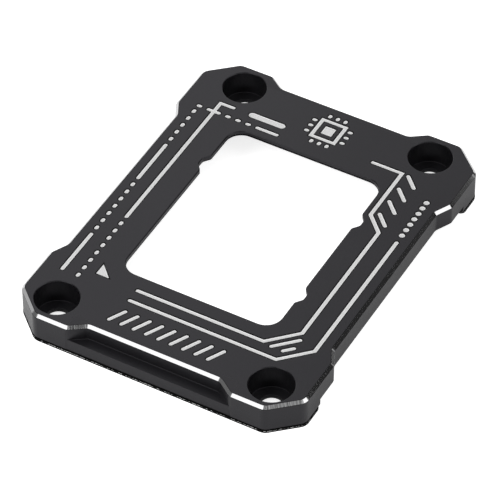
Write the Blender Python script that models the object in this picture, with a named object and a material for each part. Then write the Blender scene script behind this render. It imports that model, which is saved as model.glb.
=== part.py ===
"""Contact frame that holds a processor down in its socket: one milled aluminium piece and two glued pads.

The origin is under the middle of the four screw holes, on the plane that the pads rest on. X runs along the
short front end, Y from front to back and Z up. All values are in metres, written as millimetres times MM.
"""

import math

import bmesh
import bpy
from mathutils import Vector

MM = 0.001

# Screw holes: the pattern is a little narrower at the back than at the front
HOLE_SPACING_FRONT = 40.6 * MM
HOLE_SPACING_BACK = 36.56 * MM
HOLE_SPACING_Y = 60.0 * MM
COUNTERBORE_RADIUS = 3.85 * MM
COUNTERBORE_DEPTH = 4.6 * MM
THROUGH_HOLE_RADIUS = 2.0 * MM
RIM_BREAK = 0.15 * MM

# Outline: metal that stands past the screw holes, with cut corners and recesses between the corner lobes
SIDE_MARGIN = 6.7 * MM
END_MARGIN = 5.25 * MM
CORNER_CUT_X = 5.24 * MM
CORNER_CUT_Y = 4.7 * MM
CORNER_RADIUS = 2.0 * MM
RECESS_RADIUS = 1.5 * MM
SIDE_RECESS = 1.5 * MM
SIDE_RECESS_HALF_LENGTH = 18.17 * MM
SIDE_RAMP = 2.9 * MM
END_RECESS = 2.05 * MM
END_RECESS_HALF_WIDTH = 12.42 * MM
END_RAMP = 2.9 * MM

# Heights
BODY_HEIGHT = 5.4 * MM
TOP_CHAMFER = 0.5 * MM
BOTTOM_BREAK = 0.2 * MM
LEDGE_DEPTH = 2.95 * MM
RAIL_THICKNESS = 4.1 * MM
FOOT_LENGTH = 9.6 * MM

# Window over the processor's lid, with a thin lip that presses on it
WINDOW_WIDTH = 29.36 * MM
WINDOW_LENGTH = 39.27 * MM
WINDOW_SHIFT_X = -0.14 * MM
WINDOW_SHIFT_Y = 0.635 * MM
WINDOW_RADIUS = 3.0 * MM
LIP_THICKNESS = 0.97 * MM
EDGE_BREAK = 0.15 * MM

# Keying notches in the long edges of the window
NOTCH_DEPTH = 0.98 * MM
NOTCH_MOUTH = 3.9 * MM
NOTCH_FLOOR = 1.4 * MM
NOTCH_RADIUS = 0.8 * MM
NOTCH_Y = 10.0 * MM
NOTCH_SHIFT = 0.12 * MM

# Underside: a pocket for the processor's package and a wider, lower one for the body of the socket
PACKAGE_MARGIN_X = 4.3 * MM
PACKAGE_MARGIN_Y = 3.1 * MM
PACKAGE_RADIUS = 1.5 * MM
SOCKET_MARGIN = 1.4 * MM
SOCKET_RELIEF_DEPTH = 2.8 * MM

# Insulating pads under the two ends
PAD_THICKNESS = 0.55 * MM
GLUE_THICKNESS = 0.05 * MM
PAD_OVERHANG = 0.06 * MM
PAD_RADIUS = 1.0 * MM
PAD_HOLE_CLEARANCE = 1.0 * MM

# Engraved lines and dots: shallow cuts that show bare metal
MARK_DEPTH = 0.15 * MM
LINE_WIDTH = 0.74 * MM
DOT_LENGTH = 1.1 * MM
DOT_GAP = 0.9 * MM
OUTER_COLUMN_MARGIN = 3.95 * MM
OUTER_COLUMN_TOP_DOTS = 5
OUTER_COLUMN_LOW_DOTS = 7
OUTER_COLUMN_DASH = 10.1 * MM
COLUMN_SPACING = 3.06 * MM
INNER_COLUMN_DASH = 33.1 * MM
INNER_COLUMN_HOOK = 2.95 * MM
INNER_COLUMN_DOTS = 8
ROW_MARGIN = 13.16 * MM
ROW_DOTS = 3
ROW_CROSSING_DASH = 2.8 * MM
ROW_END_DASH = 4.55 * MM
PILL_WIDTH = 1.3 * MM
PILL_LENGTH = 7.15 * MM
PILL_RISE = 2.4 * MM
TRACK_RISE = 2.0 * MM
TRACK_LEAD = 6.0 * MM
TRACK_SWERVE = 3.23 * MM
TRACK_SPACING = 3.75 * MM
TRACK_ABOVE_NOTCH = 2.6 * MM
TRACK_FRONT_MARGIN = 13.13 * MM
TRACK_CORNER = 4.65 * MM
TRACK_FRONT_END_X = -9.8 * MM
OUTER_TRACK_MARGIN = 4.15 * MM
OUTER_TRACK_STEP = 2.6 * MM
OUTER_TRACK_BELOW_NOTCH = 0.9 * MM
ROUND_DOT_DIAMETER = 1.1 * MM
ROUND_DOT_PITCH = 1.5 * MM
ROUND_DOTS = 7
ROUND_DOT_GAP = 1.59 * MM
SLASH_COUNT = 4
SLASH_PITCH = 3.5 * MM
SLASH_REACH = 2.7 * MM
SLASH_GAP = 1.0 * MM
SLASH_RISE = 1.13 * MM
CORNER_SLASHES = ((1.4 * MM, 4.0 * MM), (3.55 * MM, 1.85 * MM))
CORNER_SLASH_DROP = 0.65 * MM
TRIANGLE_LEG = 2.6 * MM
TRIANGLE_GAP = 2.4 * MM
TRIANGLE_MARGIN = 15.85 * MM

# Plain chip sign in the middle of the back end, and a row of slanted bars in the middle of the front end
CHIP_RING = 4.5 * MM
CHIP_CORE = 2.1 * MM
CHIP_PIN_LENGTH = 1.0 * MM
CHIP_PIN_GAP = 0.35 * MM
CHIP_PIN_PITCH = 1.5 * MM
CHIP_PINS = 3
CHIP_END_MARGIN = 8.0 * MM
BAR_COUNT = 9
BAR_PITCH = 2.34 * MM
BAR_SLANT = 1.8 * MM
BAR_HEIGHT = 3.4 * MM
BAR_END_MARGIN = 6.55 * MM

# How finely round stretches are divided
ARC_STEP = math.radians(9)
HOLE_SEGMENTS = 56
CAP_SEGMENTS = 8
BEYOND = 2.0 * MM

# Worked out from the values above
SIDE = HOLE_SPACING_FRONT / 2 + SIDE_MARGIN
END = HOLE_SPACING_Y / 2 + END_MARGIN
BASE_Z = PAD_THICKNESS + GLUE_THICKNESS
TOP_Z = BASE_Z + BODY_HEIGHT
FOOT_Y = END - FOOT_LENGTH
WINDOW_RIGHT = WINDOW_SHIFT_X + WINDOW_WIDTH / 2
WINDOW_LEFT = WINDOW_SHIFT_X - WINDOW_WIDTH / 2
WINDOW_BACK = WINDOW_SHIFT_Y + WINDOW_LENGTH / 2
WINDOW_FRONT = WINDOW_SHIFT_Y - WINDOW_LENGTH / 2
HOLES = [
    (side * spacing / 2, end * HOLE_SPACING_Y / 2)
    for end, spacing in ((-1, HOLE_SPACING_FRONT), (1, HOLE_SPACING_BACK))
    for side in (-1, 1)
]


def clear_scene():
    for obj in list(bpy.data.objects):
        bpy.data.objects.remove(obj, do_unlink=True)


def principled(name, colour, metallic, roughness):
    material = bpy.data.materials.new(name)
    material.use_nodes = True
    shader = material.node_tree.nodes["Principled BSDF"]
    shader.inputs["Base Color"].default_value = (*colour, 1.0)
    shader.inputs["Metallic"].default_value = metallic
    shader.inputs["Roughness"].default_value = roughness
    return material


def mesh_object(name, mesh_builder, material=None):
    """Turn a filled bmesh into an object whose faces point outwards."""
    bmesh.ops.recalc_face_normals(mesh_builder, faces=mesh_builder.faces)
    mesh = bpy.data.meshes.new(name)
    mesh_builder.to_mesh(mesh)
    mesh_builder.free()
    obj = bpy.data.objects.new(name, mesh)
    bpy.context.collection.objects.link(obj)
    if material:
        mesh.materials.append(material)
    return obj


def filleted(corners):
    """Points and outward normals along a closed anticlockwise polygon whose corners (x, y, radius) are rounded."""
    points = []
    normals = []
    for index, (x, y, radius) in enumerate(corners):
        corner = Vector((x, y))
        before = (Vector(corners[index - 1][:2]) - corner).normalized()
        after = (Vector(corners[(index + 1) % len(corners)][:2]) - corner).normalized()
        turn = math.pi - before.angle(after)
        convex = before.cross(after) < 0
        centre = corner + (before + after).normalized() * radius / math.cos(turn / 2)
        side = 1 if convex else -1
        start = Vector((-before.y, before.x)) * side
        steps = max(2, math.ceil(turn / ARC_STEP))
        for step in range(steps + 1):
            angle = side * turn * step / steps
            spoke = Vector(
                (
                    start.x * math.cos(angle) - start.y * math.sin(angle),
                    start.x * math.sin(angle) + start.y * math.cos(angle),
                )
            )
            points.append(centre + spoke * radius)
            normals.append(spoke * side)
    return points, normals


def moved_out(points, normals, distance):
    return [point + normal * distance for point, normal in zip(points, normals)]


def four_quadrants(corners):
    """Repeat the corners of the first quadrant, given anticlockwise, in the other three."""
    back = corners + [(-x, y, r) for x, y, r in reversed(corners)]
    return back + [(-x, -y, r) for x, y, r in back]


def ring(builder, points, z):
    return [builder.verts.new((*point, z)) for point in points]


def bridge(builder, lower, upper):
    count = len(lower)
    for index in range(count):
        following = (index + 1) % count
        builder.faces.new((lower[index], lower[following], upper[following], upper[index]))


def stack(builder, levels):
    """A closed solid through loops of equal point count, given from the lowest up as (points, z)."""
    rings = [ring(builder, points, z) for points, z in levels]
    builder.faces.new(rings[0])
    builder.faces.new(rings[-1])
    for lower, upper in zip(rings, rings[1:]):
        bridge(builder, lower, upper)


def stacked(name, levels, material=None):
    builder = bmesh.new()
    stack(builder, levels)
    return mesh_object(name, builder, material)


def turned(name, profile, centres):
    """A closed solid of revolution at each centre, from a profile of (radius, z) that starts and ends on the axis."""
    builder = bmesh.new()
    for x, y in centres:
        rings = []
        for radius, z in profile[1:-1]:
            rings.append(
                [
                    builder.verts.new((x + radius * math.cos(angle), y + radius * math.sin(angle), z))
                    for angle in (math.tau * k / HOLE_SEGMENTS for k in range(HOLE_SEGMENTS))
                ]
            )
        builder.faces.new(rings[0])
        builder.faces.new(rings[-1])
        for lower, upper in zip(rings, rings[1:]):
            bridge(builder, lower, upper)
    return mesh_object(name, builder)


def cut(target, cutter, crosses_itself=False):
    cutter.display_type = "WIRE"
    cutter.hide_render = True
    modifier = target.modifiers.new(cutter.name, "BOOLEAN")
    modifier.operation = "DIFFERENCE"
    modifier.solver = "EXACT"
    modifier.object = cutter
    modifier.use_self = crosses_itself


def rectangle(centre_x, centre_y, half_x, half_y, radius):
    corners = [
        (centre_x + half_x, centre_y + half_y, radius),
        (centre_x - half_x, centre_y + half_y, radius),
        (centre_x - half_x, centre_y - half_y, radius),
        (centre_x + half_x, centre_y - half_y, radius),
    ]
    return filleted(corners)


def outer_outline():
    """The frame seen from above: cut corners, and recesses in the middle of all four sides."""
    return filleted(
        four_quadrants(
            [
                (SIDE - SIDE_RECESS, SIDE_RECESS_HALF_LENGTH, RECESS_RADIUS),
                (SIDE, SIDE_RECESS_HALF_LENGTH + SIDE_RAMP, RECESS_RADIUS),
                (SIDE, END - CORNER_CUT_Y, CORNER_RADIUS),
                (SIDE - CORNER_CUT_X, END, CORNER_RADIUS),
                (END_RECESS_HALF_WIDTH + END_RAMP, END, RECESS_RADIUS),
                (END_RECESS_HALF_WIDTH, END - END_RECESS, RECESS_RADIUS),
            ]
        )
    )


def blank(material):
    """The outer form: the end recesses stop at a ledge, the side recesses run down the whole height."""
    points, normals = outer_outline()
    top = moved_out(points, normals, -TOP_CHAMFER)
    base = moved_out(points, normals, -BOTTOM_BREAK)
    touching = 1e-3 * MM
    in_recess = [abs(p.y) < END - touching and abs(p.x) < END_RECESS_HALF_WIDTH + END_RAMP for p in points]
    in_recess = [inside and abs(p.y) > END - END_RECESS - touching for inside, p in zip(in_recess, points)]
    ledge_z = TOP_Z - LEDGE_DEPTH

    builder = bmesh.new()
    wall = [p for p, inside in zip(points, in_recess) if not inside]
    foot = [p for p, inside in zip(base, in_recess) if not inside]
    foot_ring = ring(builder, foot, BASE_Z)
    low_ring = ring(builder, wall, BASE_Z + BOTTOM_BREAK)
    ledge_edge = ring(builder, wall, ledge_z)
    builder.faces.new(foot_ring)
    bridge(builder, foot_ring, low_ring)
    bridge(builder, low_ring, ledge_edge)

    remaining = iter(ledge_edge)
    ledge_ring = [
        builder.verts.new((*p, ledge_z)) if inside else next(remaining)
        for p, inside in zip(points, in_recess)
    ]
    count = len(points)
    first = next(k for k in range(count) if in_recess[k] and not in_recess[k - 1])
    ledge = []
    for k in range(first, first + count):
        if in_recess[k % count]:
            ledge = ledge or [ledge_ring[k % count - 1]]
            ledge.append(ledge_ring[k % count])
        elif ledge:
            ledge.append(ledge_ring[k % count])
            builder.faces.new(ledge)
            ledge = []
    upper_ring = ring(builder, points, TOP_Z - TOP_CHAMFER)
    top_ring = ring(builder, top, TOP_Z)
    bridge(builder, ledge_ring, upper_ring)
    bridge(builder, upper_ring, top_ring)
    builder.faces.new(top_ring)
    return mesh_object("frame", builder, material)


def window_corners():
    """Window outline, anticlockwise from the back right, with two notches in its right edge and one in its left."""

    def notch(edge_x, outward, centre_y):
        run = [
            (0, -NOTCH_MOUTH / 2),
            (NOTCH_DEPTH, -NOTCH_FLOOR / 2),
            (NOTCH_DEPTH, NOTCH_FLOOR / 2),
            (0, NOTCH_MOUTH / 2),
        ]
        return [(edge_x + outward * depth, centre_y + outward * y, NOTCH_RADIUS) for depth, y in run]

    return (
        [(WINDOW_RIGHT, WINDOW_BACK, WINDOW_RADIUS), (WINDOW_LEFT, WINDOW_BACK, WINDOW_RADIUS)]
        + notch(WINDOW_LEFT, -1, NOTCH_SHIFT + NOTCH_Y)
        + [(WINDOW_LEFT, WINDOW_FRONT, WINDOW_RADIUS), (WINDOW_RIGHT, WINDOW_FRONT, WINDOW_RADIUS)]
        + notch(WINDOW_RIGHT, 1, NOTCH_SHIFT - NOTCH_Y)
        + notch(WINDOW_RIGHT, 1, NOTCH_SHIFT + NOTCH_Y)
    )


def window_cutter():
    points, normals = filleted(window_corners())
    levels = [
        (points, BASE_Z - BEYOND),
        (points, TOP_Z - EDGE_BREAK),
        (moved_out(points, normals, 2 * EDGE_BREAK), TOP_Z + EDGE_BREAK),
    ]
    return stacked("window_cutter", levels)


def pocket_cutter(name, margin_x, margin_y, depth):
    """A pocket milled from below, wider than the window by a margin on each side."""
    half_x = WINDOW_WIDTH / 2 + margin_x
    half_y = WINDOW_LENGTH / 2 + margin_y
    points, _ = rectangle(WINDOW_SHIFT_X, WINDOW_SHIFT_Y, half_x, half_y, PACKAGE_RADIUS)
    return stacked(name, [(points, BASE_Z - BEYOND), (points, TOP_Z - depth)])


def rail_cutter():
    """Clears the underside between the feet, so that the long sides stand off the board."""
    points, _ = rectangle(0, 0, SIDE + BEYOND, FOOT_Y, PACKAGE_RADIUS / 2)
    return stacked("rail_cutter", [(points, BASE_Z - BEYOND), (points, TOP_Z - RAIL_THICKNESS)])


def screw_hole_cutter():
    seat_z = TOP_Z - COUNTERBORE_DEPTH
    profile = [
        (0, BASE_Z - BEYOND),
        (THROUGH_HOLE_RADIUS, BASE_Z - BEYOND),
        (THROUGH_HOLE_RADIUS, seat_z),
        (COUNTERBORE_RADIUS, seat_z),
        (COUNTERBORE_RADIUS, TOP_Z - RIM_BREAK),
        (COUNTERBORE_RADIUS + 2 * RIM_BREAK, TOP_Z + RIM_BREAK),
        (0, TOP_Z + RIM_BREAK),
    ]
    return turned("screw_hole_cutter", profile, HOLES)


def round_cap(centre, direction, radius):
    """Half a circle round the end of a line that runs in this direction, from its right side to its left."""
    right = math.atan2(direction.y, direction.x) - math.pi / 2
    angles = [right + math.pi * k / CAP_SEGMENTS for k in range(CAP_SEGMENTS + 1)]
    return [centre + radius * Vector((math.cos(a), math.sin(a))) for a in angles]


def side_points(path, offset):
    """The path's inner points moved sideways by the offset, with mitred bends."""
    moved = []
    for before, here, after in zip(path, path[1:], path[2:]):
        into = (here - before).normalized()
        out = (after - here).normalized()
        mitre = (into.orthogonal() + out.orthogonal()).normalized()
        moved.append(here + mitre * offset / mitre.dot(into.orthogonal()))
    return moved


def line_outline(path, width):
    """Outline of a line of constant width along the path, whose round ends lie inside its first and last points."""
    path = [Vector(point) for point in path]
    radius = width / 2
    forward = (path[-1] - path[-2]).normalized()
    backward = (path[0] - path[1]).normalized()
    head = round_cap(path[-1] - forward * radius, forward, radius)
    tail = round_cap(path[0] - backward * radius, backward, radius)
    return head + side_points(path, radius)[::-1] + tail + side_points(path, -radius)


def run_of_dashes(start, direction, lengths):
    """Straight dashes in a row, with one gap between them. Returns their paths."""
    direction = Vector(direction)
    reach = 0
    paths = []
    for length in lengths:
        paths.append((Vector(start) + direction * reach, Vector(start) + direction * (reach + length)))
        reach += length + DOT_GAP
    return paths


def column_marks():
    """Dashes and dots down the left side, and the row of them behind the window."""
    row_y = END - ROW_MARGIN
    outer_x = OUTER_COLUMN_MARGIN - SIDE
    inner_x = outer_x + COLUMN_SPACING
    top_y = row_y - DOT_LENGTH / 2 - DOT_GAP + LINE_WIDTH / 2
    hook_y = row_y + PILL_RISE
    inner_end = hook_y + LINE_WIDTH / 2 - INNER_COLUMN_DASH
    dots = [DOT_LENGTH]
    outer = dots * OUTER_COLUMN_TOP_DOTS + [OUTER_COLUMN_DASH]
    outer += dots * OUTER_COLUMN_LOW_DOTS + [OUTER_COLUMN_DASH]
    paths = run_of_dashes((outer_x, top_y), (0, -1), outer)
    paths += run_of_dashes((inner_x, inner_end - DOT_GAP), (0, -1), dots * INNER_COLUMN_DOTS)
    paths.append([(inner_x + INNER_COLUMN_HOOK, hook_y), (inner_x, hook_y), (inner_x, inner_end)])
    row_start = outer_x - LINE_WIDTH / 2
    row = dots + [ROW_CROSSING_DASH] + dots * ROW_DOTS + [ROW_END_DASH]
    paths += run_of_dashes((row_start, row_y), (1, 0), row)
    row_end = row_start + sum(row) + DOT_GAP * (len(row) - 1)
    pill = [(row_end - PILL_LENGTH, hook_y), (row_end, hook_y)]
    return [(path, LINE_WIDTH) for path in paths] + [(pill, PILL_WIDTH)]


def track_marks():
    """Two tracks round the right and front sides of the window, with the dots and slashes beside them."""
    top_y = END - ROW_MARGIN + TRACK_RISE
    outer_x = SIDE - OUTER_TRACK_MARGIN
    lower_x = outer_x - TRACK_SPACING
    upper_x = lower_x - TRACK_SWERVE
    front_y = TRACK_FRONT_MARGIN - END
    outer_front_y = front_y - OUTER_TRACK_STEP
    swerve_y = NOTCH_Y + TRACK_ABOVE_NOTCH
    inner = [
        (upper_x - TRACK_LEAD, top_y),
        (upper_x, top_y),
        (upper_x, swerve_y),
        (lower_x, swerve_y - TRACK_SWERVE),
        (lower_x, front_y + TRACK_CORNER),
        (lower_x - TRACK_CORNER, front_y),
        (TRACK_FRONT_END_X, front_y),
    ]
    outer = [
        (outer_x, NOTCH_Y - OUTER_TRACK_BELOW_NOTCH),
        (outer_x, outer_front_y + TRACK_CORNER),
        (outer_x - TRACK_CORNER, outer_front_y),
        (TRACK_FRONT_END_X, outer_front_y),
    ]
    marks = [(inner, LINE_WIDTH), (outer, LINE_WIDTH)]
    for k in range(SLASH_COUNT):
        start = Vector((upper_x + SLASH_GAP, swerve_y + SLASH_RISE + k * SLASH_PITCH))
        marks.append(([start, start + Vector((SLASH_REACH, -SLASH_REACH))], LINE_WIDTH))
    for shift, reach in CORNER_SLASHES:
        start = Vector((lower_x - TRACK_CORNER + shift, front_y - CORNER_SLASH_DROP))
        marks.append(([start, start + Vector((reach, reach))], LINE_WIDTH))
    return marks


def round_dots():
    """A row of dots that goes on where the outer track ends."""
    radius = ROUND_DOT_DIAMETER / 2
    low_y = NOTCH_Y - OUTER_TRACK_BELOW_NOTCH + ROUND_DOT_GAP
    outlines = []
    for k in range(ROUND_DOTS):
        centre = Vector((SIDE - OUTER_TRACK_MARGIN, low_y + k * ROUND_DOT_PITCH))
        halves = [round_cap(centre, Vector((0, side)), radius)[:-1] for side in (1, -1)]
        outlines.append(halves[0] + halves[1])
    return outlines


def triangle_outline():
    """Corner marker beside the front left corner of the window."""
    x = OUTER_COLUMN_MARGIN - SIDE + COLUMN_SPACING + TRIANGLE_GAP
    y = TRIANGLE_MARGIN - END
    return [(x, y), (x, y - TRIANGLE_LEG), (x + TRIANGLE_LEG, y - TRIANGLE_LEG)]


def bar_marks():
    """Slanted bars in a row across the middle of the front end."""
    y = BAR_END_MARGIN - END - BAR_HEIGHT / 2
    marks = []
    for k in range(BAR_COUNT):
        x = WINDOW_SHIFT_X + (k - (BAR_COUNT - 1) / 2) * BAR_PITCH
        marks.append(([(x - BAR_SLANT / 2, y), (x + BAR_SLANT / 2, y + BAR_HEIGHT)], LINE_WIDTH))
    return marks


def square_outline(centre, half):
    return [centre + Vector((sx * half, sy * half)) for sx, sy in ((1, 1), (-1, 1), (-1, -1), (1, -1))]


def chip_pins(centre):
    start = CHIP_RING / 2 + LINE_WIDTH / 2 + CHIP_PIN_GAP
    pins = []
    for turn in range(4):
        outward = Vector((round(math.cos(turn * math.pi / 2)), round(math.sin(turn * math.pi / 2))))
        for k in range(CHIP_PINS):
            across = outward.orthogonal() * (k - (CHIP_PINS - 1) / 2) * CHIP_PIN_PITCH
            root = centre + outward * start + across
            pins.append(([root, root + outward * CHIP_PIN_LENGTH], LINE_WIDTH))
    return pins


def square_ring(builder, centre, low_z, high_z):
    """A square line that closes on itself, as four walls between an inner and an outer square."""
    squares = [square_outline(centre, CHIP_RING / 2 + side * LINE_WIDTH / 2) for side in (1, -1)]
    outer_low, inner_low = [ring(builder, square, low_z) for square in squares]
    outer_high, inner_high = [ring(builder, square, high_z) for square in squares]
    bridge(builder, outer_low, outer_high)
    bridge(builder, outer_high, inner_high)
    bridge(builder, inner_high, inner_low)
    bridge(builder, inner_low, outer_low)


def mark_cutter():
    """Cuts all marks. One dash of the row crosses the inner column, so this cutter crosses itself."""
    floor_z = TOP_Z - MARK_DEPTH
    over_z = TOP_Z + BEYOND
    chip = Vector((WINDOW_SHIFT_X, END - CHIP_END_MARGIN))
    lines = column_marks() + track_marks() + bar_marks() + chip_pins(chip)
    outlines = [line_outline(path, width) for path, width in lines] + round_dots()
    outlines += [triangle_outline(), square_outline(chip, CHIP_CORE / 2)]
    builder = bmesh.new()
    for outline in outlines:
        stack(builder, [(outline, floor_z), (outline, over_z)])
    square_ring(builder, chip, floor_z, over_z)
    return mesh_object("mark_cutter", builder)


def pad(name, end, material):
    """The pad under one end: a little proud of the end's outline, and clear of each screw hole."""
    side = SIDE + PAD_OVERHANG
    outer = END + PAD_OVERHANG
    corners = [
        (side, FOOT_Y - PAD_OVERHANG, PAD_RADIUS),
        (side, END - CORNER_CUT_Y, CORNER_RADIUS),
        (SIDE - CORNER_CUT_X, outer, CORNER_RADIUS),
    ]
    corners += [(-x, y, radius) for x, y, radius in reversed(corners)]
    if end < 0:
        corners = [(x, -y, radius) for x, y, radius in reversed(corners)]
    points, _ = filleted(corners)
    obj = stacked(name, [(points, 0.0), (points, PAD_THICKNESS)], material)
    radius = THROUGH_HOLE_RADIUS + PAD_HOLE_CLEARANCE
    holes = [(x, y) for x, y in HOLES if y * end > 0]
    profile = [(0, -BEYOND), (radius, -BEYOND), (radius, BASE_Z + BEYOND), (0, BASE_Z + BEYOND)]
    cut(obj, turned(f"{name}_hole_cutter", profile, holes))
    return obj


def smooth_round_faces(obj):
    obj.data.shade_smooth()
    obj.data.set_sharp_from_angle(angle=math.radians(30))


def build():
    clear_scene()
    anodised = principled("black_anodised_aluminium", (0.045, 0.045, 0.048), 0.6, 0.45)
    insulator = principled("black_insulating_film", (0.012, 0.012, 0.012), 0.0, 0.6)
    frame = blank(anodised)
    smooth_round_faces(frame)
    cut(frame, window_cutter())
    cut(frame, pocket_cutter("package_cutter", PACKAGE_MARGIN_X, PACKAGE_MARGIN_Y, LIP_THICKNESS))
    margin_x = PACKAGE_MARGIN_X + SOCKET_MARGIN
    margin_y = PACKAGE_MARGIN_Y + SOCKET_MARGIN
    cut(frame, pocket_cutter("socket_cutter", margin_x, margin_y, SOCKET_RELIEF_DEPTH))
    cut(frame, rail_cutter())
    cut(frame, screw_hole_cutter())
    cut(frame, mark_cutter(), crosses_itself=True)
    pad("front_pad", -1, insulator)
    pad("back_pad", 1, insulator)


build()
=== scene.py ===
import math

import bmesh
import bpy
import numpy as np
from mathutils import Matrix, Vector


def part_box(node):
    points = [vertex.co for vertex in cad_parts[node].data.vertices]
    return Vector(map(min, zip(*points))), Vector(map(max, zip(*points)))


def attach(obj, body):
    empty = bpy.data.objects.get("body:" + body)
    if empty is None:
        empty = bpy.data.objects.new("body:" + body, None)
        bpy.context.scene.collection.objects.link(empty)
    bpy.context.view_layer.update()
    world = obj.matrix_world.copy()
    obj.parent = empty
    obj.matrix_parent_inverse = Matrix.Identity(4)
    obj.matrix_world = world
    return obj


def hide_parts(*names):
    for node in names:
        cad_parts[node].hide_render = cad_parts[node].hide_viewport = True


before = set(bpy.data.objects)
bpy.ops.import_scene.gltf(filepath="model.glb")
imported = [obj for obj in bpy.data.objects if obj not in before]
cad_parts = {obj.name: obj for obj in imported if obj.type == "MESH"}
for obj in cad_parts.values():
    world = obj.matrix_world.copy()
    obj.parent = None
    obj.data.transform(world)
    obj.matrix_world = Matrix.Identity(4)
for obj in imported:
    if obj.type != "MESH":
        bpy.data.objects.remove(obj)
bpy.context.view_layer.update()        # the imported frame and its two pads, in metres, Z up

mm = 0.001
scene = bpy.context.scene
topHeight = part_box("frame")[1].z
levelFrom = 0.99         # a face is level when its normal's z is past this, up or down


# A shader socket that can stand in Python expressions: each operator adds one Math node
class Wire:
    def __init__(self, finish, socket):
        self.finish = finish
        self.socket = socket

    def __add__(self, other):
        return self.finish.maths("ADD", self, other)

    def __sub__(self, other):
        return self.finish.maths("SUBTRACT", self, other)

    def __rsub__(self, other):
        return self.finish.maths("SUBTRACT", other, self)

    def __mul__(self, other):
        return self.finish.maths("MULTIPLY", self, other)

    def __gt__(self, other):
        return self.finish.maths("GREATER_THAN", self, other)

    def __lt__(self, other):
        return self.finish.maths("LESS_THAN", self, other)

    def __abs__(self):
        return self.finish.maths("ABSOLUTE", self)

    __radd__ = __add__
    __rmul__ = __mul__


# A material under construction, or the world, with its shader ready
class Finish:
    socketNames = {
        "colour": "Base Color",
        "metallic": "Metallic",
        "roughness": "Roughness",
        "normal": "Normal",
        "ior": "IOR",
        "gloss": "Specular IOR Level",
        "glossTint": "Specular Tint",
        "glow": "Emission Strength",
        "glowColour": "Emission Color",
        "worldColour": "Color",
        "worldStrength": "Strength",
    }

    def __init__(self, name, library=bpy.data.materials, shader="Principled BSDF"):
        self.made = library.new(name)
        self.made.use_nodes = True
        self.tree = self.made.node_tree
        self.shader = self.tree.nodes[shader]

    def plug(self, socket, value):
        if isinstance(value, Wire):
            self.tree.links.new(value.socket, socket)
        else:
            socket.default_value = value

    # Adds a node: its settings come first, then the values or wires of its sockets
    def node(self, kind, settings=None, sockets=None, out=0):
        node = self.tree.nodes.new(kind)
        for key, value in (settings or {}).items():
            setattr(node, key, value)
        for key, value in (sockets or {}).items():
            self.plug(node.inputs[key], value)
        return Wire(self, node.outputs[out])

    def set(self, **values):
        for key, value in values.items():
            self.plug(self.shader.inputs[self.socketNames[key]], value)

    def maths(self, operation, *values):
        return self.node("ShaderNodeMath", {"operation": operation}, dict(enumerate(values)))

    def place(self):
        return self.node("ShaderNodeTexCoord", out="Object")

    def parts(self, vector):
        split = self.node("ShaderNodeSeparateXYZ", None, {"Vector": vector})
        return [Wire(self, socket) for socket in split.socket.node.outputs]

    def joined(self, x, y, z):
        return self.node("ShaderNodeCombineXYZ", None, {"X": x, "Y": y, "Z": z})

    def grey(self, shade):
        return self.joined(shade, shade, shade)

    # Noise from 0 to 1, with spots of about the given size
    def noise(self, vector, size, detail=1.0):
        sockets = {"Vector": vector, "Scale": 1 / size, "Detail": detail}
        return self.node("ShaderNodeTexNoise", None, sockets, out="Fac")

    # A surface raised by a height in metres
    def bump(self, height):
        sockets = {"Height": height, "Distance": 1.0, "Strength": 1.0}
        return self.node("ShaderNodeBump", None, sockets, out="Normal")

    # 1 for a ray of any of these kinds, otherwise 0
    def rays(self, *kinds):
        outputs = self.node("ShaderNodeLightPath").socket.node.outputs
        mask, *others = [Wire(self, outputs[kind]) for kind in kinds]
        for other in others:
            mask = self.maths("MAXIMUM", mask, other)
        return mask


# Black anodised finish: dark dyed layer, blasted grain, and cutter lines on the walls
anodised = {
    "colour": (0.0070, 0.0068, 0.0078),
    "glossTint": (0.94, 0.92, 1.0, 1.0),
    "cloud": 9 * mm,
    "colourSpread": 0.12,
    "grainSpread": 0.25,
    "roughness": 0.23,
    "roughnessSpread": 0.06,
    "ior": 1.465,
    "grain": 0.11 * mm,
    "grainDepth": 0.004 * mm,
    "cutterLine": 0.16 * mm,
    "cutterStretch": 0.04,      # the lines are drawn out upwards by its inverse
    "cutterDepth": 0.006 * mm,
    "wallLimit": 0.2,           # a wall's normal has a z squared below this
    "boreRoughness": 0.12,
    "recessRoughness": 0.16,
}

# Where the recesses in both ends are: the cutter left them duller
recesses = {"x": 15.6 * mm, "y": 32.0 * mm}

# Where the lower part of the window's back wall is: painted shade there makes a fine dark line
# under the lip
windowShadeLine = {
    "x": 15.0 * mm,
    "nearY": 17.0 * mm,
    "farY": 26.0 * mm,
    "low": 5.0 * mm,
    "high": 5.43 * mm,
}

# Where the four screw bores are: the back pair is a little closer together
bores = {
    "x": 20.3 * mm,
    "backShift": 2.02 * mm,
    "y": 30.0 * mm,
    "radius": 4.0 * mm,
    "top": 5.8 * mm,
}


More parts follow.
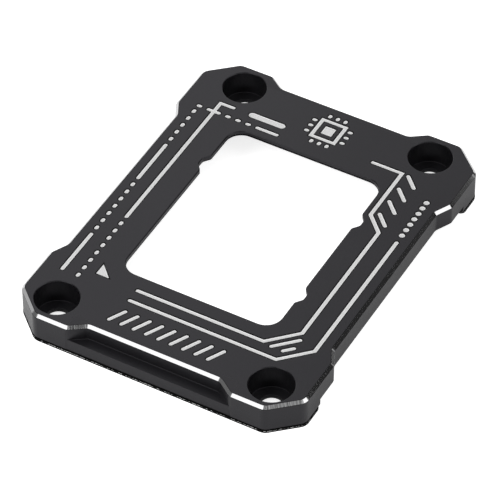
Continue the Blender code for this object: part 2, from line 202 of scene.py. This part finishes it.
def anodisedFinish(look=anodised):
    finish = Finish("anodised_metal")
    place = finish.place()
    grain = finish.noise(place, look["grain"], 2.0)
    patch = (finish.noise(place, look["cloud"], 3.0) - 0.5) * 2
    shade = 1 + look["colourSpread"] * patch + look["grainSpread"] * (grain - 0.5)
    colour = finish.joined(*[shade * value for value in look["colour"]])
    normal = finish.node("ShaderNodeNewGeometry", out="Normal")
    x, y, z = finish.parts(place)
    nz = finish.parts(normal)[2]
    wall = nz * nz < look["wallLimit"]
    drawnOut = finish.joined(x, y, z * look["cutterStretch"])
    streak = finish.noise(drawnOut, look["cutterLine"])
    height = grain * look["grainDepth"] + streak * wall * look["cutterDepth"]
    aside = abs(x) - bores["x"] + (y > 0.0) * bores["backShift"]
    ahead = abs(y) - bores["y"]
    inBore = (aside * aside + ahead * ahead < bores["radius"] ** 2) * (z < bores["top"])
    inRecess = (abs(x) < recesses["x"]) * (abs(y) > recesses["y"])
    rough = look["roughness"] + look["roughnessSpread"] * patch
    rough = rough + inBore * look["boreRoughness"] + inRecess * look["recessRoughness"]
    # painted shade: the window's back wall turns to dark metal near its lower edge
    paintedEdgeShade = (z > windowShadeLine["low"]) * (z < windowShadeLine["high"]) * (abs(x) < windowShadeLine["x"])
    paintedEdgeShade = paintedEdgeShade * (y > windowShadeLine["nearY"]) * (y < windowShadeLine["farY"])
    finish.set(colour=colour, metallic=paintedEdgeShade, roughness=rough, ior=look["ior"])
    finish.set(glossTint=look["glossTint"], normal=finish.bump(height))
    return finish.made


# Bare metal left by the last cut round the edge. The cutter leaves fine lines across it, coarse
# ones on the stretches that slant between the front and the right. Along both sides runs a dark
# line of painted shade.
brightCut = {
    "colour": 0.87,
    "blueCast": 1.01,
    "paintedShadeColour": 0.010,
    "paintedShadeWidth": 0.018 * mm,
    "paintedShadeRoughness": 0.4,
    "roughness": 0.09,
    "line": 0.32 * mm,
    "lineStretch": 0.04,
    "lineDepth": 0.005 * mm,
    "lineRoughness": 0.05,
    "coarseLine": 0.3 * mm,
    "coarseStretch": 0.06,
    "coarseShade": 2.4,
    "coarseFrom": 0.62,
    "slantedFrom": 0.215,
}


def brightFinish(look=brightCut):
    finish = Finish("bright_cut")
    along, across, _ = finish.parts(finish.node("ShaderNodeTexCoord", out="UV"))
    drawnOut = finish.joined(along, across * look["lineStretch"], 0.0)
    lines = finish.noise(drawnOut, look["line"])
    paintedShadeEdge = brightEdge["chamfer"] * math.sqrt(2) - look["paintedShadeWidth"]
    bare = (across > look["paintedShadeWidth"]) * (across < paintedShadeEdge)
    nx, ny, _ = finish.parts(finish.node("ShaderNodeNewGeometry", out="Normal"))
    slanted = nx * ny < -look["slantedFrom"]
    drawnOut = finish.joined(along, across * look["coarseStretch"], 0.0)
    coarse = finish.noise(drawnOut, look["coarseLine"])
    furrow = finish.maths("MAXIMUM", look["coarseFrom"] - coarse, 0.0)
    pale = look["colour"] * (1 - slanted * look["coarseShade"] * furrow)
    # painted shade: outside the bare band the strip turns nearly black, a dark line along both
    # sides
    shade = look["paintedShadeColour"] + bare * (pale - look["paintedShadeColour"])
    rough = look["roughness"] + look["lineRoughness"] * lines + (1 - bare) * look["paintedShadeRoughness"]
    finish.set(colour=finish.joined(shade, shade, shade * look["blueCast"]), metallic=1.0)
    finish.set(roughness=rough, normal=finish.bump(lines * look["lineDepth"]))
    return finish.made


# Engraved lines: pale bare metal hatched by the tool, a paler rim, and a border of painted shade
engraved = {
    "colour": 0.66,
    "rimColour": 0.99,
    "rim": 0.16 * mm,
    "paintedShadeColour": 0.010,
    "paintedShadeEdge": 0.03 * mm,
    "hatch": 0.13 * mm,
    "hatchStretch": 0.15,
    "hatchShade": 0.35,
    "hatchDepth": 0.004 * mm,
    "roughness": 0.5,
}


def engravedFinish(look=engraved):
    finish = Finish("engraving")
    x, y, _ = finish.parts(finish.place())
    inset = finish.node("ShaderNodeAttribute", {"attribute_name": "inset"}, out="Fac")
    drawnOut = finish.joined(x + y, (x - y) * look["hatchStretch"], 0.0)
    hatch = finish.noise(drawnOut, look["hatch"])
    rim = inset < look["rim"]
    inside = inset > look["paintedShadeEdge"]
    pale = look["colour"] + (hatch - 0.5) * look["hatchShade"]
    pale = rim * look["rimColour"] + (1 - rim) * pale
    # painted shade: the border round each mark, on the top face and down the groove's upper wall,
    # is nearly black metal
    shade = inside * pale + (1 - inside) * look["paintedShadeColour"]
    finish.set(colour=finish.grey(shade), metallic=1 - inside, roughness=look["roughness"])
    finish.set(normal=finish.bump(hatch * inside * look["hatchDepth"]))
    return finish.made


# Insulating film: matt black, with a pale core that its cut edge shows as a broken line
film = {
    "colour": 0.003,
    "coreColour": 0.6,
    "coreFrom": 0.30 * mm,
    "coreTo": 0.41 * mm,
    "coreBreaks": 0.26 * mm,
    "brokenFrom": 0.52,
    "roughness": 0.8,
    "gloss": 0.08,
    "grain": 0.16 * mm,
    "grainDepth": 0.02 * mm,
}


def filmFinish(look=film):
    finish = Finish("insulating_pad")
    place = finish.place()
    grain = finish.noise(place, look["grain"], 3.0)
    z = finish.parts(place)[2]
    core = (z > look["coreFrom"]) * (z < look["coreTo"])
    broken = finish.noise(place, look["coreBreaks"]) > look["brokenFrom"]
    shade = look["colour"] + (look["coreColour"] - look["colour"]) * (core * broken)
    finish.set(colour=finish.grey(shade), roughness=look["roughness"], gloss=look["gloss"])
    finish.set(normal=finish.bump(grain * look["grainDepth"]))
    return finish.made


# Makes an object from a mesh and shows it
def shownObject(name, mesh, material):
    mesh.materials.append(material)
    thing = bpy.data.objects.new(name, mesh)
    scene.collection.objects.link(thing)
    return thing


# Puts points and faces into a smooth mesh object that belongs to the part
def meshPiece(name, points, faces, material):
    mesh = bpy.data.meshes.new(name)
    mesh.from_pydata(points.reshape(-1, 3).tolist(), [], faces)
    mesh.shade_smooth()
    piece = shownObject(name, mesh, material)
    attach(piece, "root")
    return piece


merging = {"doubles": 0.001 * mm, "flatWithin": 0.5}     # the second in degrees


# A CAD node's mesh is loose triangles: its copy is merged, and its flat areas are made whole
def mergedShape(node, look=merging):
    shape = bmesh.new()
    shape.from_mesh(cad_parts[node].data)
    bmesh.ops.remove_doubles(shape, verts=shape.verts, dist=look["doubles"])
    limit = math.radians(look["flatWithin"])
    bmesh.ops.dissolve_limit(shape, angle_limit=limit, verts=shape.verts, edges=shape.edges)
    return shape


# The outline of some level faces, as arrays: the points, each point's sideways direction into the
# faces, the edges as pairs of points, and the faces as lists of points. The direction is the two
# edges' inward normals added up and lengthened for the bend between them.
def outlineOf(faces):
    inside = set(faces)
    verts = list(dict.fromkeys(vert for face in faces for vert in face.verts))
    index = {vert: k for k, vert in enumerate(verts)}
    edges = []
    for face in faces:
        for loop in face.loops:
            if loop.link_loop_radial_next.face not in inside:
                edges.append((index[loop.vert], index[loop.link_loop_next.vert]))
    points = np.array([vert.co for vert in verts])
    edges = np.array(edges)
    run = points[edges[:, 1]] - points[edges[:, 0]]
    run /= np.linalg.norm(run, axis=1)[:, None]
    up = 1.0 if faces[0].normal.z > 0 else -1.0
    inward = np.stack([-run[:, 1], run[:, 0], np.zeros(len(run))], axis=1) * up
    leaving = np.zeros_like(points)
    arriving = np.zeros_like(points)
    leaving[edges[:, 0]] = inward
    arriving[edges[:, 1]] = inward
    bend = 1.0 + np.sum(leaving * arriving, axis=1)
    sideways = (leaving + arriving) / bend[:, None]
    return points, sideways, edges, [[index[vert] for vert in face.verts] for face in faces]


# A solid round an outline: a profile of (inset, height) pairs is carried along it from bottom to
# top, as point + sideways * inset with z = height, and the outline's own faces close both ends.
# A wander is added to the inset, with a value of its own for each point of each level.
def carried(points, sideways, edges, faces, profile, wander=None):
    inset = np.array([pair[0] for pair in profile])[:, None, None]
    height = np.array([pair[1] for pair in profile])[:, None]
    grid = points[None] + sideways[None] * inset
    if wander is not None:
        grid = grid + sideways[None] * wander[:, :, None]
    grid[:, :, 2] = height
    count = len(points)
    start, end = edges[:, 0], edges[:, 1]
    quads = []
    for step in range(len(profile) - 1):
        low, high = step * count, (step + 1) * count
        quads.append(np.stack([start + low, end + low, end + high, start + high], axis=1))
    walls = np.concatenate(quads).tolist()
    last = (len(profile) - 1) * count
    ends = [face[::-1] for face in faces] + [[k + last for k in face] for face in faces]
    return grid, walls + ends


frameEdges = {
    "breakWidth": 0.05 * mm,
    "cutterRound": 0.09 * mm,
    "sharpFrom": 28,            # degrees
    "steps": 2,
    "flatWeight": 100,
}


# The frame's body: the milled solid with its sharp edges broken, and with the small round that the
# cutter's corner leaves where a wall meets a floor. The engraving's edges stay sharp, as the marks
# cover them.
def frameBody(shape, material, look=frameEdges):
    weight = shape.edges.layers.float.new("bevel_weight_edge")
    small = look["breakWidth"] / look["cutterRound"]
    for edge in shape.edges:
        if edge.calc_face_angle(0.0) < math.radians(look["sharpFrom"]):
            continue
        meetsFloor = any(face.normal.z > levelFrom for face in edge.link_faces)
        edge.smooth = not any(map(isGroove, edge.link_faces))
        if edge.smooth:
            edge[weight] = 1.0 if meetsFloor and edge.calc_face_angle_signed() < 0 else small
    mesh = bpy.data.meshes.new("frame_body")
    shape.to_mesh(mesh)
    mesh.shade_smooth()
    piece = shownObject("frame_body", mesh, material)
    bevel = piece.modifiers.new("edge break", "BEVEL")
    bevel.width = look["cutterRound"]
    bevel.segments = look["steps"]
    bevel.limit_method = "WEIGHT"
    bevel.use_clamp_overlap = False
    weighted = piece.modifiers.new("flat faces stay flat", "WEIGHTED_NORMAL")
    weighted.weight = look["flatWeight"]
    weighted.keep_sharp = True
    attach(piece, "root")
    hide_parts("frame")
    return piece


# How deep the engraving is cut, and how a face of its grooves is told from the others
markLevels = {"depth": 0.15 * mm, "slack": 0.01 * mm, "uprightTo": 0.1}


def isGroove(face, look=markLevels):
    lowest = min(vert.co.z for vert in face.verts)
    floor = topHeight - look["depth"] - look["slack"]
    steep = abs(face.normal.z)
    levelOrUpright = steep > levelFrom or steep < look["uprightTo"]
    return floor < lowest < topHeight - look["slack"] and levelOrUpright


brightEdge = {
    "chamfer": 0.5 * mm,
    "chamferZ": (0.3, 0.95),    # the z of its faces' normals lies between these
    "slack": 0.01 * mm,
    "spacing": 0.15 * mm,
    "bendBlur": 0.4 * mm,
    "stands": 0.006 * mm,
    "thickness": 0.03 * mm,
    "border": 0.07 * mm,
    "edgeRound": 0.02 * mm,
    "across": (0.0, 0.04, 0.1, 0.3, 0.5, 0.7, 0.9, 0.96, 1.0),
}


# The way round the frame, with a point at least every spacing, as arrays: low, the points on the
# chamfer's lower edge, their distance along it, level, which points straight out of the wall, and
# lean, the direction of the shading. It turns more gently through a bend than the edge itself does,
# as the cutter leaves it: it is the mean of level over a short way before and after.
def edgeWay(shape, look=brightEdge):
    least, most = look["chamferZ"]
    slanted = [face for face in shape.faces if least < face.normal.z < most]
    low = np.array([vert.co for vert in {vert for face in slanted for vert in face.verts}])
    low = low[np.abs(low[:, 2] - (topHeight - look["chamfer"])) < look["slack"]]
    low = low[np.argsort(np.arctan2(low[:, 1], low[:, 0]))]
    ahead = np.roll(low, -1, axis=0) - low
    steps = np.linalg.norm(ahead, axis=1)
    side = np.stack([ahead[:, 1], -ahead[:, 0], np.zeros(len(low))], axis=1) / steps[:, None]
    previous = np.roll(side, 1, axis=0)
    level = (side + previous) / (1 + np.sum(side * previous, axis=1))[:, None]
    counts = np.ceil(steps / look["spacing"]).astype(int)
    begins = np.cumsum(counts) - counts
    share = (np.arange(counts.sum()) - np.repeat(begins, counts)) / np.repeat(counts, counts)
    first = np.repeat(np.arange(len(low)), counts)
    second = (first + 1) % len(low)
    low = low[first] + (low[second] - low[first]) * share[:, None]
    level = level[first] + (level[second] - level[first]) * share[:, None]
    along = (np.cumsum(steps) - steps)[first] + steps[first] * share
    laps = np.concatenate([along + lap * steps.sum() for lap in (-1, 0, 1)])
    ways = np.tile(level, (3, 1))       # three laps, so that the mean runs on past the start
    pieces = (ways[1:] + ways[:-1]) / 2 * np.diff(laps)[:, None]
    total = np.concatenate([np.zeros((1, 3)), np.cumsum(pieces, axis=0)])
    before, after = along - look["bendBlur"], along + look["bendBlur"]
    sums = [np.interp(after, laps, part) - np.interp(before, laps, part) for part in total.T]
    lean = np.stack(sums, axis=1)
    lean /= np.linalg.norm(lean, axis=1)[:, None]
    return low, along, level, lean


# The strip's section climbs the wall's last stretch, the chamfer and the first stretch of the top
# face, and comes back inside the metal. For each of its points: how far out and up from the
# chamfer's lower edge it is, its distance across the strip, and the (out, up) direction it faces.
def edgeSection(look=brightEdge):
    skin, lift, inner = look["chamfer"], look["stands"], look["thickness"]
    edge, border = look["edgeRound"], look["border"]
    slope = np.array(look["across"]) * (skin - 2 * edge) + edge
    slant = lift / math.sqrt(2)
    wide = skin * math.sqrt(2)
    out = np.concatenate([[lift, lift], slant - slope, [-skin - edge, -skin - border]])
    up = np.concatenate([[-border, -edge], slant + slope, [skin + lift, skin + lift]])
    across = np.concatenate([[-border, -edge], slope * math.sqrt(2), [wide + edge, wide + border]])
    out = np.concatenate([out, [-skin - border, -skin - inner / 2, -inner, -inner]])
    up = np.concatenate([up, [skin - inner, skin - inner, -inner / 2, -border]])
    across = np.concatenate([across, across[[-1, -2, 1, 0]]])
    half = math.sqrt(0.5)
    pointing = [(1, 0)] * 2 + [(half, half)] * len(slope) + [(0, 1)] * 2
    pointing += [(0, -1), (-half, -half), (-half, -half), (-1, 0)]
    return out, up, across, np.array(pointing)


# The chamfer's bright skin, a closed strip round the whole frame: its section is carried along the
# way, as point = low + level * out + Z * up
def brightEdgePiece(shape, material):
    low, along, level, lean = edgeWay(shape)
    out, up, across, pointing = edgeSection()
    grid = low[:, None] + level[:, None] * out[None, :, None]
    grid[:, :, 2] += up
    rows, columns = grid.shape[:2]
    k = np.arange(rows * columns).reshape(rows, columns)
    nextRow, nextColumn = np.roll(k, -1, axis=0), np.roll(k, -1, axis=1)
    faces = np.stack([k, nextRow, np.roll(nextRow, -1, axis=1), nextColumn], axis=-1)
    faces = faces.reshape(-1, 4)
    piece = meshPiece("bright_edge", grid, faces.tolist(), material)
    strip = np.stack(np.broadcast_arrays(along[:, None], across[None]), axis=-1)
    corners = strip.reshape(-1, 2)[faces].astype(np.float32)
    piece.data.uv_layers.new(name="strip").data.foreach_set("uv", corners.ravel())
    normals = lean[:, None] * pointing[None, :, :1]
    normals[:, :, 2] += pointing[:, 1]
    piece.data.normals_split_custom_set_from_vertices(normals.reshape(-1, 3).tolist())
    return piece


# Profile of an engraved line from its border over its rim and down to its floor, as (inset, height
# over the floor), with a first point under the floor that closes the border off
markProfile = {
    "under": 0.03 * mm,
    "border": 0.15 * mm,
    "points": (
        (-0.15 * mm, 0.152 * mm),
        (-0.02 * mm, 0.157 * mm),
        (0.01 * mm, 0.14 * mm),
        (0.025 * mm, 0.03 * mm),
        (0.05 * mm, 0.012 * mm),
        (0.11 * mm, 0.006 * mm),
        (0.12 * mm, 0.006 * mm),
        (0.24 * mm, 0.009 * mm),
    ),
}


# The marks' pale filling. The attribute inset tells the finish how far a point is from the border.
def engravedPiece(shape, material, look=markProfile):
    floors = [face for face in shape.faces if isGroove(face) and face.normal.z > levelFrom]
    floor = topHeight - markLevels["depth"]
    points, sideways, edges, faces = outlineOf(floors)
    profile = [(-look["border"], floor - look["under"])]
    profile += [(inset, floor + height) for inset, height in look["points"]]
    grid, faces = carried(points, sideways, edges, faces, profile)
    piece = meshPiece("engraved_marks", grid, faces, material)
    inset = np.repeat(np.array([pair[0] for pair in profile]), len(points))
    attribute = piece.data.attributes.new("inset", "FLOAT", "POINT")
    attribute.data.foreach_set("value", inset.astype(np.float32))
    return piece


pads = {
    "spacing": 0.25 * mm,
    "jag": 0.05 * mm,
    "sharpFrom": 50,            # degrees
    "profile": (
        (0.10 * mm, 0.0),
        (0.03 * mm, 0.02 * mm),
        (0.0, 0.08 * mm),
        (0.0, 0.20 * mm),
        (0.0, 0.34 * mm),
        (0.0, 0.47 * mm),
        (0.03 * mm, 0.53 * mm),
        (0.10 * mm, 0.55 * mm),
    ),
}


# One insulating pad: the film's outline is carried up its profile, with its edge points moved in a
# little at random, as a blunt cut leaves it
def padPiece(node, name, material, seed, look=pads):
    shape = mergedShape(node)
    bottom = {face for face in shape.faces if face.normal.z < -levelFrom}
    rims = [edge for edge in shape.edges if len(bottom & set(edge.link_faces)) == 1]
    for edge in sorted(rims, key=lambda edge: tuple(edge.verts[0].co) + tuple(edge.verts[1].co)):
        cuts = int(edge.calc_length() / look["spacing"])
        if cuts:
            bmesh.ops.bisect_edges(shape, edges=[edge], cuts=cuts)
    bottom = [face for face in shape.faces if face.normal.z < -levelFrom]
    points, sideways, edges, faces = outlineOf(bottom)
    shape.free()
    profile = look["profile"]
    jag = np.random.default_rng(seed).random((len(profile), len(points))) * look["jag"]
    jag[[0, 1, -2, -1]] = 0.0
    grid, faces = carried(points, sideways, edges, faces, profile, jag)
    piece = meshPiece(name, grid, faces, material)
    normals = bmesh.new()
    normals.from_mesh(piece.data)
    bmesh.ops.recalc_face_normals(normals, faces=normals.faces)
    normals.to_mesh(piece.data)
    normals.free()
    piece.data.set_sharp_from_angle(angle=math.radians(look["sharpFrom"]))
    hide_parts(node)
    return piece


# Camera: a long lens, a little to the right of the front and well above it
camera = {
    "place": (0.2245, -0.4006, 0.4574),
    "forward": (-0.3472, 0.6183, -0.7051),
    "right": (0.8731, 0.4875, -0.0025),
    "focalPixels": 3820.8,
    "imagePixels": 500,
    "sensor": 36.0,             # millimetres, as Blender counts them
    "nearest": 0.01,
}


def makeCamera(look=camera):
    data = bpy.data.cameras.new("camera")
    data.sensor_width = look["sensor"]
    data.lens = look["focalPixels"] * look["sensor"] / look["imagePixels"]
    data.clip_start = look["nearest"]
    forward = Vector(look["forward"]).normalized()
    right = Vector(look["right"]).normalized()
    upwards = right.cross(forward)
    turn = Matrix((right, upwards, -forward)).transposed()
    eye = bpy.data.objects.new("camera", data)
    eye.matrix_world = Matrix.Translation(look["place"]) @ turn.to_4x4()
    scene.collection.objects.link(eye)
    scene.camera = eye


# Floor, world, lamps and cards. Angles are in degrees, distances and the lamps' sizes in metres. A
# card's width and height are the angles that it fills, seen from the object.
studio = {
    "floorSize": 4.0,
    "floorDrop": 0.02 * mm,
    "floorColour": 0.78,
    "floorSeen": 0.79,
    "floorMirrored": 0.05,
    "worldLight": 0.66,
    "lamps": (
        # name, azimuth, elevation, distance, size, power
        ("key_lamp", -126, 40, 0.55, 0.34, 1.4),
        ("side_lamp", 2, 37, 0.6, 0.26, 0.5),
    ),
    "cards": (
        # name, azimuth, elevation, distance, width, height, shade
        ("white_card_front", -107, 40, 1.0, 35, 44, 1.2),
        ("white_card_right", 8, 38, 1.0, 34, 30, 1.2),
        ("black_card_right", 53.2, 15, 0.3, 53.6, 36, 0.018),
        ("charcoal_card_right", 60.5, 15, 0.29, 38, 36, 0.055),
        ("light_strip_right", 50.5, 15, 0.28, 7, 36, 0.3),
        ("grey_card_front", -38, 46, 1.0, 32, 40, 0.34),
        ("dark_strip_near", -61.5, 44, 0.96, 3, 50, 0.02),
        ("light_strip_front", -69, 44, 1.0, 12, 50, 0.35),
        ("dark_strip_far", -77, 44, 0.96, 7, 50, 0.02),
        ("grey_card_behind", 93, 45, 0.25, 31, 50, 0.74),
        ("grey_card_left", 181, 14, 1.0, 21, 40, 0.42),
        ("dark_card_left", 211, 20, 1.02, 39, 50, 0.13),
    ),
}


# Place of a lamp or a card: round the object and above it, turned towards it
def facing(azimuth, elevation, distance):
    a, e = math.radians(azimuth), math.radians(elevation)
    away = Vector((math.cos(a) * math.cos(e), math.sin(a) * math.cos(e), math.sin(e)))
    turn = away.to_track_quat("Z", "Y").to_matrix().to_4x4()
    return Matrix.Translation(away * distance) @ turn


def flatSheet(name, width, height, material):
    x, y = width / 2, height / 2
    mesh = bpy.data.meshes.new(name)
    mesh.from_pydata([(-x, -y, 0), (x, -y, 0), (x, y, 0), (-x, y, 0)], [], [(0, 1, 2, 3)])
    sheet = shownObject(name, mesh, material)
    return sheet


# A matt sheet of one shade of grey that also gives off white light of its own
def sheetFinish(name, shade, glow):
    finish = Finish(name)
    finish.set(colour=(shade, shade, shade, 1.0), roughness=1.0, gloss=0.0)
    finish.set(glowColour=(1.0, 1.0, 1.0, 1.0), glow=glow)
    return finish


# Floor: a pale sheet that glows only for the camera, which sees it as white with the object's faint
# shadow, and a little for reflections. It lies just under the pads.
def makeFloor(look=studio):
    finish = sheetFinish("floor", look["floorColour"], 1.0)
    seen = finish.rays("Is Camera Ray", "Is Transmission Ray") * look["floorSeen"]
    mirrored = finish.rays("Is Glossy Ray") * look["floorMirrored"]
    finish.set(glowColour=finish.grey(seen + mirrored))
    floor = flatSheet("floor", look["floorSize"], look["floorSize"], finish.made)
    floor.location.z = -look["floorDrop"]


# World: white for the camera and for reflections, and weaker as a light on matt surfaces
def makeWorld(look=studio):
    world = Finish("studio", bpy.data.worlds, "Background")
    seen = world.rays("Is Camera Ray", "Is Glossy Ray", "Is Transmission Ray")
    strength = seen + (1 - seen) * look["worldLight"]
    world.set(worldColour=(1.0, 1.0, 1.0, 1.0), worldStrength=strength)
    scene.world = world.made


# Two round lamps that no reflection shows, and cards that only reflections show: the cards give the
# bright edge its white, grey and dark stretches
def makeLights(look=studio):
    for name, azimuth, elevation, distance, size, power in look["lamps"]:
        data = bpy.data.lights.new(name, "AREA")
        data.shape = "DISK"
        data.size = size
        data.energy = power
        lamp = bpy.data.objects.new(name, data)
        lamp.matrix_world = facing(azimuth, elevation, distance)
        lamp.visible_glossy = False
        scene.collection.objects.link(lamp)
    for name, azimuth, elevation, distance, width, height, shade in look["cards"]:
        size = [2 * distance * math.tan(math.radians(angle / 2)) for angle in (width, height)]
        card = flatSheet(name, *size, sheetFinish(name, 0.0, shade).made)
        card.matrix_world = facing(azimuth, elevation, distance)
        card.visible_camera = False
        card.visible_diffuse = False
        card.visible_shadow = False
        card.visible_transmission = False


frameShape = mergedShape("frame")
print("frame: merged copy has", len(frameShape.verts), "points and", len(frameShape.faces), "faces")
brightEdgePiece(frameShape, brightFinish())
print("bright edge laid over the chamfer")
engravedPiece(frameShape, engravedFinish())
print("engraved marks filled")
frameBody(frameShape, anodisedFinish())
frameShape.free()
print("frame body made, with broken edges")
filmMaterial = filmFinish()
padPiece("front_pad", "front_pad_film", filmMaterial, seed=3)
padPiece("back_pad", "back_pad_film", filmMaterial, seed=5)
print("both pads made")
makeCamera()
makeFloor()
makeWorld()
makeLights()
scene.view_settings.view_transform = "Standard"
print("camera, lamps, cards and floor are in place")
